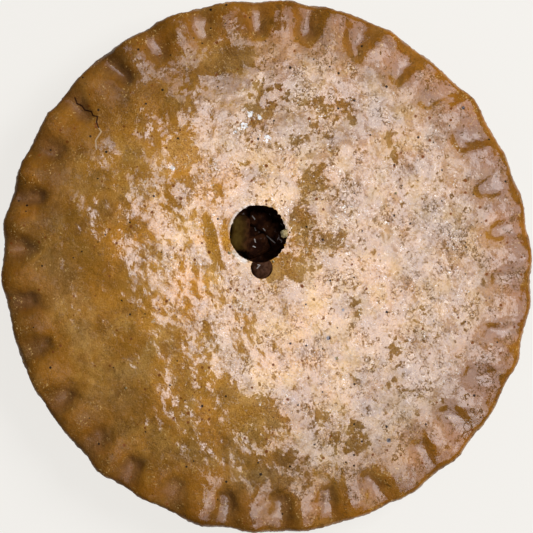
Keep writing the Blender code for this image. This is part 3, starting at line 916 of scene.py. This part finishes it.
# Clouds of noise: size in millimetres, octaves of detail, how strong each octave is, distortion,
# seed, the noise that gives the first share and the one that gives the second, and those shares
CLOUDS = {
    "busy": (9, 3, 0.55, 0, 14, 0.47, 0.64, 0, 1),
    "ring_gaps": (1.6, 2, 0.6, 0, 0, 0.42, 0.50, 0, 1),
    "holes": (3.6, 5, 0.7, 0.3, 31, 0.36, 0.39, 0.12, 1),
    "film": (14, 7, 0.84, 0.3, 12, 0.38, 0.60, 0.62, 1),
    "curdled": (1.4, 4, 0.75, 0.3, 20, 0.42, 0.50, 0.44, 1),
    "even": (12, 3, 0.6, 0, 53, 0.50, 0.56, 0, 1),
    "olive": (30, 3, 0.5, 0, 0, 0.38, 0.62, 0, 1),
    "honey": (20, 5, 0.6, 0, 1, 0.48, 0.62, 0, 0.6),
    "ashen": (26, 5, 0.65, 0, 33, 0.46, 0.60, 0, 0.35),
    "brown": (9, 4, 0.6, 0, 5, 0.54, 0.66, 0, 0.5),
    "toasted": (8, 5, 0.65, 0, 35, 0.40, 0.56, 0.6, 1),
    "creamy": (12, 5, 0.65, 0.4, 57, 0.48, 0.60, 0, 1),
    "mottled": (16, 4, 0.6, 0.5, 45, 0.38, 0.62, 0.79, 1.16),
    "sparkle_patches": (9, 2, 0.5, 0, 43, 0.50, 0.60, 0, 1),
    "sparkles": (0.9, 2, 0.6, 0, 41, 0.60, 0.66, 0, 0.5),
    "highlit": (8, 2, 0.5, 0, 22, 0.50, 0.60, 0, 1),
    "highlight_flecks": (1.7, 3, 0.7, 0, 21, 0.60, 0.66, 0, 0.8),
    "highlight_curl_parts": (2.2, 3, 0.7, 0, 51, 0.52, 0.58, 0, 0.6),
    "highlight_breakup": (1.4, 3, 0.7, 0, 37, 0.44, 0.54, 0, 1),
    "pale": (1.3, 3, 0.7, 0, 25, 0.36, 0.56, 0.35, 1),
    "crumb": (0.7, 3, 0.7, 0, 0, 0.40, 0.60, 0, 1),
    "syrup": (1.6, 4, 0.6, 0, 0, 0.40, 0.60, 0, 1),
}

# The outlines of blisters: spacing, half width in spacings, seed
BLISTERS = ((3.6 * MM, 0.06, 0.004), (6.5 * MM, 0.04, 0.011))
# Scattered specks: spacing and largest radius in millimetres, colour
SPECKS = ((3.2, 0.9, RUST), (3.6, 0.75, SPECK), (17.0, 1.5, SPECK))
LINE_CORE = 0.5  # the share of a line's half width that is fully dark
SPOT_CORE = 0.7
GLAZE_GAIN = 0.17  # how far thicker glaze moves the borders of its patches
COARSE_SHARE = 0.6  # of the borders; the rest follows finer noise
FINE_SHARE = 1.0 - COARSE_SHARE
GLAZE_BORDER = (0.462, 0.478)
BROKEN_COVER = 0.03  # what is left of the glaze between its patches
DRY_COVER = 0.05  # what is left where it has baked dry, and along its dried borders
GROOVE_COVER = 0.9
CREAM_COVER = 0.76
FLECK_COVER = 0.8
GROOVE_TONE = 0.6  # how strongly each layer's colour shows
CREAM_TONE = 0.32
LINE_TONE = 0.65
BARE_LOSS = 0.25  # how much darker the pastry is where the glaze is missing
EVEN_GRAIN = 0.6  # what is left of the grain under even glaze
RIM_GRAIN = 0.45
FAR_GRAIN = 0.7


class Paint:
    """A Principled material, with short calls for the nodes that feed it."""

    def __init__(self, name):
        self.material = bpy.data.materials.new(name)
        self.material.use_nodes = True
        self.nodes = self.material.node_tree.nodes
        self.links = self.material.node_tree.links
        self.shader = self.nodes["Principled BSDF"]
        self.place = self.make("TexCoord", {})["Object"]
        self.flat = self.vector("MULTIPLY", self.place, (1.0, 1.0, 0.0))

    def put(self, socket, value):
        """Feeds a socket from a node's output, or sets its plain value."""
        if isinstance(value, bpy.types.NodeSocket):
            self.links.new(value, socket)
        else:
            socket.default_value = value

    def set(self, **inputs):
        """Sets the shader's inputs: Base_Color=..., Roughness=... and so on."""
        for name, value in inputs.items():
            self.put(self.shader.inputs[name.replace("_", " ")], value)

    def make(self, kind, inputs, **settings):
        """The outputs of a new node with these settings, its inputs fed by name or number."""
        node = self.nodes.new("ShaderNode" + kind)
        for name, value in settings.items():
            setattr(node, name, value)
        for name, value in inputs.items():
            self.put(node.inputs[name], value)
        return node.outputs

    def math(self, operation, first, second=0.0):
        """One arithmetic step."""
        return self.make("Math", {0: first, 1: second}, operation=operation)["Value"]

    def times(self, first, second):
        """The product of two numbers."""
        return self.math("MULTIPLY", first, second)

    def vector(self, operation, *values):
        """One step of vector arithmetic. A single number stands for three equal ones."""
        return self.make("VectorMath", dict(enumerate(values)), operation=operation)["Vector"]

    def distance(self, first, second):
        """How far apart two places are."""
        return self.make("VectorMath", {0: first, 1: second}, operation="DISTANCE")["Value"]

    def level(self, value, low, high, low_gives=0.0, high_gives=1.0):
        """Maps low..high smoothly to low_gives..high_gives."""
        names = ("Value", "From Min", "From Max", "To Min", "To Max")
        inputs = dict(zip(names, (value, low, high, low_gives, high_gives)))
        return self.make("MapRange", inputs, interpolation_type="SMOOTHSTEP")["Result"]

    def between(self, share, none_gives, full_gives):
        """Maps a share of 0 to none_gives and of 1 to full_gives."""
        return self.level(share, 0.0, 1.0, none_gives, full_gives)

    def within(self, away, reach, core):
        """1 up to this core share of the reach, 0 beyond the reach."""
        return self.level(away, core * reach, reach, 1.0, 0.0)

    def mix(self, share, first, second):
        """A blend of two colours."""
        inputs = {"Factor": share}
        for number, colour in ((6, first), (7, second)):
            inputs[number] = (*colour, 1.0) if isinstance(colour, tuple) else colour
        return self.make("Mix", inputs, data_type="RGBA")[2]

    def bump(self, height, distance, under=None):
        """A bump normal from a height, on top of another one."""
        inputs = {"Height": height, "Distance": distance}
        if under:
            inputs["Normal"] = under
        return self.make("Bump", inputs)["Normal"]

    def points(self, name):
        """A value that is stored on the mesh's points."""
        return self.make("Attribute", {}, attribute_name=name)["Fac"]

    def noise(self, size, detail=2.0, rough=0.5, distortion=0.0, seed=0.0):
        """Cloudy noise about 0.5, with features of this size."""
        inputs = {"Vector": self.place, "W": seed, "Scale": 1.0 / size}
        inputs.update({"Detail": detail, "Roughness": rough, "Distortion": distortion})
        return self.make("TexNoise", inputs, noise_dimensions="4D")["Fac"]

    def cloud(self, name, extra=None, reseed=0.0):
        """The share that one of the CLOUDS gives, with something extra added to its noise."""
        size, detail, rough, distortion, seed, *levels = CLOUDS[name]
        noise = self.noise(size * MM, detail, rough, distortion, seed + reseed)
        return self.level(self.math("ADD", noise, extra) if extra else noise, *levels)

    def cells(self, place, size):
        """Voronoi cells about many scattered points, with this spacing."""
        return self.make("TexVoronoi", {"Vector": place, "Scale": 1.0 / size})

    def specks(self, spacing, largest, shift):
        """1 in scattered specks of many sizes up to this radius, 0 between them."""
        cells = self.cells(self.vector("ADD", self.place, (shift, shift, shift)), spacing)
        draw = self.make("SeparateColor", {"Color": cells["Color"]})["Red"]
        reach = self.times(self.math("POWER", draw, 4.0), largest / spacing)
        share = self.math("DIVIDE", cells["Distance"], self.math("ADD", reach, 0.0001))
        return self.within(share, 1.0, SPOT_CORE)

    def warped(self, size, reach, shift=0.0):
        """The place seen from above, moved about by up to half this reach."""
        start = self.vector("ADD", self.flat, (shift, shift, shift))
        cloud = self.make("TexNoise", {"Vector": start, "Scale": 1.0 / size})["Color"]
        moved = self.vector("MULTIPLY_ADD", cloud, (reach, reach, 0.0), self.flat)
        return self.vector("ADD", moved, (-reach / 2.0, -reach / 2.0, 0.0))

    def spot(self, x, y, radius, place=None):
        """1 within this radius of a place seen from above, 0 outside it."""
        return self.within(self.distance(place or self.flat, (x, y, 0.0)), radius, SPOT_CORE)

    def stroke(self, start, end, half_width):
        """1 along a line from start to end, seen from above."""
        step = Vector((*end, 0.0)) - Vector((*start, 0.0))
        moved = self.vector("SUBTRACT", self.flat, (*start, 0.0))
        inputs = {0: moved, 1: step / step.length_squared}
        along = self.make("VectorMath", inputs, operation="DOT_PRODUCT")["Value"]
        share = self.make("Clamp", {"Value": along})["Result"]
        nearest = self.vector("MULTIPLY", step, share)
        return self.within(self.distance(moved, nearest), half_width, LINE_CORE)

    def drawn(self, colour, points, half_width, tone):
        """The colour with a line of another tone drawn on it from point to point."""
        for start, end in zip(points, points[1:]):
            colour = self.mix(self.stroke(start, end, half_width), colour, tone)
        return colour


def thin_lines(paint, size, half_width, seed):
    """1 along thin wriggling lines: the dried borders of the glaze, the painted highlight curls
    and wet streaks.
    """
    wriggle = paint.noise(size, 3.0, 0.6, 0.3, seed)
    away = paint.math("ABSOLUTE", paint.math("SUBTRACT", wriggle, 0.5))
    return paint.within(away, half_width, LINE_CORE)


def rings(paint, spacing, half_width, shift):
    """1 along the uneven outlines of about half of many scattered blisters."""
    cells = paint.cells(paint.warped(0.4 * spacing, 0.5 * spacing, shift), spacing)
    draw = paint.make("SeparateColor", {"Color": cells["Color"]})
    reach = paint.math("ADD", paint.times(draw["Red"], 0.26), 0.08)
    away = paint.math("ABSOLUTE", paint.math("SUBTRACT", cells["Distance"], reach))
    line = paint.within(away, half_width, LINE_CORE)
    line = paint.times(line, paint.cloud("ring_gaps", reseed=spacing * 3000.0))
    return paint.times(line, paint.level(draw["Green"], 0.55, 0.60))


def glaze_lines(paint, busy):
    """1 along the dried borders of the glaze and round its blisters."""
    lines = paint.times(thin_lines(paint, 2.4 * MM, 0.038, 9.0), busy)
    for spacing, half_width, shift in BLISTERS:
        lines = paint.math("MAXIMUM", lines, rings(paint, spacing, half_width, shift))
    return lines


def glaze_cover(paint, lines):
    """1 where the glaze lies thick and shiny, less where it is broken, with crinkled borders."""
    extra = paint.times(paint.points("glaze"), GLAZE_GAIN)
    coarse = paint.times(paint.noise(17.0 * MM, 8.0, 0.72, 0.4, 7.0), COARSE_SHARE)
    fine = paint.times(paint.noise(3.4 * MM, 4.0, 0.65, 0.6, 8.0), FINE_SHARE)
    thick = paint.math("ADD", paint.math("ADD", coarse, fine), extra)
    broken = paint.level(thick, *GLAZE_BORDER, BROKEN_COVER, 1.0)
    broken = paint.times(broken, paint.cloud("holes"))
    curdled = paint.math("MAXIMUM", paint.cloud("curdled"), paint.cloud("even"))
    cover = paint.times(broken, paint.times(paint.cloud("film", extra), curdled))
    floor = paint.level(paint.points("groove"), 0.2, 0.45, 0.0, GROOVE_COVER)
    cover = paint.math("MAXIMUM", cover, floor)
    cover = paint.times(cover, paint.between(paint.points("dull"), 1.0, DRY_COVER))
    return paint.times(cover, paint.between(lines, 1.0, DRY_COVER))


def baked_colour(paint, busy, grain):
    """The pastry's colour: golden, olive and brown in blotches, toasted at the rim, darker in the
    crimps' grooves with toasting and painted shade, grainy.
    """
    rim = paint.points("rim")
    colour = paint.mix(paint.cloud("olive"), GOLDEN, OLIVE)
    for name, tone in (("honey", HONEY), ("ashen", ASHEN), ("brown", BROWN)):
        colour = paint.mix(paint.cloud(name), colour, tone)
    colour = paint.mix(paint.times(rim, paint.cloud("toasted")), colour, TOAST)
    # Darker in the crimps' grooves: toasting and painted shade in the recesses
    colour = paint.mix(paint.times(paint.points("groove"), GROOVE_TONE), colour, GROOVE_TOAST_AND_SHADE)
    bare = paint.level(paint.points("glaze"), -0.5, 0.0, 1.0, 0.0)
    grainy = paint.between(paint.math("MAXIMUM", busy, bare), EVEN_GRAIN, 1.0)
    grainy = paint.times(grainy, paint.between(rim, 1.0, RIM_GRAIN))
    grainy = paint.times(grainy, paint.between(paint.points("highlit"), FAR_GRAIN, 1.0))
    darker = paint.times(paint.level(grain, 0.38, 0.48, 1.0, 0.0), grainy)
    colour = paint.mix(darker, colour, BROWN)
    paler = paint.times(paint.level(grain, 0.53, 0.63, 0.0, 0.7), grainy)
    return paint.mix(paler, colour, HONEY)


def creamy_share(paint):
    """0 to 1: where the glaze is creamy, on the shone side of the lid."""
    creamy = paint.times(paint.cloud("creamy"), paint.points("shone"))
    return paint.times(creamy, paint.level(paint.points("rim"), 0.0, 0.6, 1.0, 0.0))


def mottled_brightness(paint, cover):
    """How bright the pastry is: uneven, darker where the glaze is missing on the shone side."""
    bared = paint.level(cover, 0.05, 0.40, BARE_LOSS, 0.0)
    bared = paint.times(bared, paint.points("shone"))
    mottled = paint.times(paint.cloud("mottled"), paint.math("SUBTRACT", 1.0, bared))
    return paint.times(mottled, paint.points("brightness"))


def with_painted_highlights(paint, colour, cover):
    """(colour, cover) with painted golden sparkles on the dull side, and painted highlight flecks
    and curls elsewhere.
    """
    highlit_side = paint.points("highlit")
    sparkle_side = paint.level(highlit_side, 0.0, 0.8, 1.0, 0.0)
    # Painted golden sparkles, away from the highlit place
    sparkle_patches = paint.times(paint.cloud("sparkle_patches"), sparkle_side)
    colour = paint.mix(paint.times(paint.cloud("sparkles"), sparkle_patches), colour, AMBER_SPARKLE)
    highlit = paint.times(paint.cloud("highlit"), highlit_side)
    # Painted highlight flecks in the base colour, with more coat under them
    highlight_flecks = paint.times(paint.cloud("highlight_flecks"), highlit)
    colour = paint.mix(highlight_flecks, colour, FLECK_HIGHLIGHT)
    cover = paint.math("MAXIMUM", cover, paint.times(highlight_flecks, FLECK_COVER))
    # Painted highlight curls
    highlight_curls = thin_lines(paint, 5.0 * MM, 0.022, 49.0)
    highlight_curls = paint.times(highlight_curls, paint.between(highlit_side, 0.25, 1.0))
    highlight_curls = paint.times(highlight_curls, paint.math("SUBTRACT", 1.0, paint.points("rim")))
    colour = paint.mix(paint.times(highlight_curls, paint.cloud("highlight_curl_parts")), colour, CURL_HIGHLIGHT)
    return colour, cover


def with_white_highlights_and_torn_edge(paint, colour):
    """The colour with the painted white highlights and the pale pastry along the vent's torn edge.
    """
    on_lid = paint.level(paint.points("highlit"), 0.0, 0.3)
    ragged = paint.warped(1.8 * MM, 3.4 * MM)
    highlight_breakup = paint.cloud("highlight_breakup")
    # Painted white highlights, broken up by noise
    for x, y, radius in WHITE_HIGHLIGHTS:
        white_highlight = paint.times(paint.spot(x, y, radius, ragged), highlight_breakup)
        colour = paint.mix(paint.times(white_highlight, on_lid), colour, HIGHLIGHT_WHITE)
    return paint.mix(paint.times(paint.cloud("pale"), paint.points("torn")), colour, TORN)


def with_specks(paint, colour, cover):
    """(colour, cover) with rusty and burnt specks, and the crack in the rim."""
    for spacing, largest, tone in SPECKS:
        spots = paint.specks(spacing * MM, largest * MM, spacing)
        colour = paint.mix(spots, colour, tone)
        cover = paint.times(cover, paint.math("SUBTRACT", 1.0, spots))
    for x, y, radius in BIG_SPECKS:
        colour = paint.mix(paint.spot(x, y, radius), colour, SPECK)
    colour = paint.drawn(colour, CRACK_TAIL, CRACK_HALF_WIDTH, CRACK_TAIL_COLOUR)
    return paint.drawn(colour, CRACK, CRACK_HALF_WIDTH, CRACK_COLOUR), cover


def glaze_ripple(paint, grain):
    """The normal of the glaze: wavy, finely rippled, pitted and a little grainy."""
    moved = paint.vector("ADD", paint.place, (1.0, 1.0, 1.0))
    pitted = paint.level(paint.cells(moved, 1.5 * MM)["Distance"], 0.05, 0.45)
    ripple = paint.bump(paint.noise(13.0 * MM, 3.0, seed=2.0), 0.4 * MM)
    ripple = paint.bump(paint.noise(3.2 * MM, 4.0, 0.6, 0.6, 7.0), 0.12 * MM, ripple)
    ripple = paint.bump(pitted, 0.015 * MM, ripple)
    return paint.bump(grain, 0.008 * MM, ripple)


def make_pastry():
    """Glazed shortcrust: golden brown, browner at the rim, specked, with a broken shine."""
    paint = Paint("pastry")
    busy = paint.cloud("busy")
    grain = paint.noise(0.7 * MM, 2.0, 0.8)
    lines = glaze_lines(paint, busy)
    cover = glaze_cover(paint, lines)
    creamy = creamy_share(paint)
    colour = baked_colour(paint, busy, grain)
    colour = paint.mix(paint.times(creamy, CREAM_TONE), colour, CREAM)
    cover = paint.times(cover, paint.between(creamy, 1.0, CREAM_COVER))
    colour = paint.mix(paint.times(lines, LINE_TONE), colour, LINE_BROWN)
    colour = paint.vector("MULTIPLY", colour, mottled_brightness(paint, cover))
    colour, cover = with_painted_highlights(paint, colour, cover)
    colour = with_white_highlights_and_torn_edge(paint, colour)
    colour, cover = with_specks(paint, colour, cover)
    skin = paint.bump(paint.noise(9.0 * MM, 4.0, 0.6, seed=24.0), 1.2 * MM)
    skin = paint.bump(grain, 0.25 * MM, skin)
    paint.set(Base_Color=colour, Roughness=0.24, Specular_IOR_Level=0.04, Normal=skin)
    paint.set(Coat_Weight=cover, Coat_Roughness=0.04, Coat_IOR=1.6)
    paint.set(Coat_Normal=glaze_ripple(paint, grain))
    return paint.material


def make_crumb_paint():
    """Dry golden crumb."""
    paint = Paint("crumb")
    colour = paint.mix(paint.cloud("crumb"), *DRY_CRUMB)
    paint.set(Base_Color=colour, Roughness=0.7, Specular_IOR_Level=0.2)
    return paint.material


def make_apple_filling():
    """Apple in syrup, painted near black with the shade of the vent, with a paler slice and thin
    wet streaks.
    """
    paint = Paint("apple_filling")
    slice_share = paint.points("slice")
    cloud = paint.noise(3.0 * MM, 3.0)
    # Painted shade: the apple near black
    apple_and_shade = paint.mix(paint.level(cloud, 0.4, 0.6), *DARK_APPLE_AND_SHADE)
    flesh = paint.mix(paint.level(cloud, 0.35, 0.65), *SLICE_FLESH)
    colour = paint.mix(slice_share, apple_and_shade, flesh)
    for thread in THREADS:
        colour = paint.drawn(colour, thread, THREAD_HALF_WIDTH, THREAD)
    wet = thin_lines(paint, 2.4 * MM, 0.010, 4.0)
    wet = paint.times(wet, paint.level(cloud, 0.52, 0.58))
    wet = paint.times(wet, paint.math("SUBTRACT", 0.45, slice_share))
    skin = paint.bump(paint.noise(1.2 * MM, 3.0), 0.2 * MM)
    paint.set(Base_Color=colour, Roughness=0.45, Specular_IOR_Level=0.0, Normal=skin)
    paint.set(Coat_Weight=wet, Coat_Roughness=0.1)
    return paint.material


def make_syrup():
    """Set dark syrup with hardly any shine and one bent thread of light."""
    paint = Paint("syrup")
    colour = paint.mix(paint.cloud("syrup"), *SET_SYRUP)
    colour = paint.drawn(colour, DROP_THREAD, DROP_THREAD_HALF_WIDTH, THREAD)
    paint.set(Base_Color=colour, Roughness=0.5, Specular_IOR_Level=0.0)
    paint.set(Coat_Weight=0.01, Coat_Roughness=0.04)
    return paint.material


# ---- The set ----


def make_lamp(name, width, length, energy):
    """A soft rectangular lamp that the camera doesn't see."""
    lamp = bpy.data.lights.new(name, "AREA")
    lamp.shape = "RECTANGLE"
    lamp.size = width
    lamp.size_y = length
    lamp.energy = energy
    holder = link(bpy.data.objects.new(name, lamp))
    holder.visible_camera = False
    return holder


def make_floor():
    """The plain pale floor that the tart stands on."""
    bpy.ops.mesh.primitive_plane_add(size=6.0)
    floor = bpy.context.object
    floor.name = "floor"
    paint = Paint("floor")
    paint.set(Base_Color=(0.10, 0.099, 0.097, 1.0), Roughness=0.9, Specular_IOR_Level=0.0)
    paint.set(Emission_Color=(0.79, 0.77, 0.735, 1.0), Emission_Strength=1.0)
    floor.data.materials.append(paint.material)


def make_lights():
    """Large panels up to the right for the shine, a soft key, a glint and light all round."""
    towards = radians(PANEL_SIDE)
    for name, share, low, high, radiance, drop, colour in PANELS:
        width = share * PANEL_HEIGHT
        length = (high - low) * PANEL_HEIGHT
        panel = make_lamp(name, width, length, radiance * pi * width * length)
        panel.data.color = colour
        across = (share / 2.0 - PANEL_START) * PANEL_HEIGHT
        along = (low + high) / 2.0 * PANEL_HEIGHT
        middle = Vector((across, along, PANEL_HEIGHT - drop))
        panel.location = Matrix.Rotation(towards, 3, "Z") @ middle
        panel.rotation_euler = (0.0, 0.0, towards)
        panel.visible_diffuse = False

    key = make_lamp("key", KEY_SIZE, KEY_SIZE, energy=24.5)
    key.rotation_euler = Euler((0.0, radians(90.0 - KEY_HEIGHT), towards))
    key.location = key.rotation_euler.to_matrix() @ Vector((0.0, 0.0, KEY_DISTANCE))
    key.visible_glossy = False

    size = GLINT_SIZE * PANEL_HEIGHT
    glint = make_lamp("glint", size, size, GLINT_RADIANCE * pi * size**2)
    glint.location = [share * PANEL_HEIGHT for share in GLINT_PLACE]
    glint.visible_diffuse = False

    world = bpy.data.worlds.new("world")
    world.cycles_visibility.glossy = False
    world.use_nodes = True
    background = world.node_tree.nodes["Background"].inputs
    background["Color"].default_value = (0.95, 0.97, 1.0, 1.0)
    background["Strength"].default_value = 0.30
    bpy.context.scene.world = world


def make_camera():
    """The photograph's view, from straight above."""
    data = bpy.data.cameras.new("camera")
    data.sensor_width = 36.0
    data.lens = data.sensor_width * VIEW_DISTANCE / VIEW_WIDTH
    camera = link(bpy.data.objects.new("camera", data))
    camera.location = (0.0, 0.0, VIEW_DISTANCE + EDGE_HEIGHT)
    bpy.context.scene.camera = camera


def main():
    """Builds the pieces round the middle of the frame's filling, then the set."""
    noise.seed_set(WARP_SEED)
    low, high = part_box("filling")
    offset = (low + high) / 2.0
    shift = Matrix.Translation((offset.x, offset.y, 0.0))
    make_crust(shift)
    make_filling(shift)
    make_drop(shift)
    make_crumbs(shift)
    make_floor()
    make_lights()
    make_camera()
    bpy.context.scene.view_settings.view_transform = "Standard"


main()
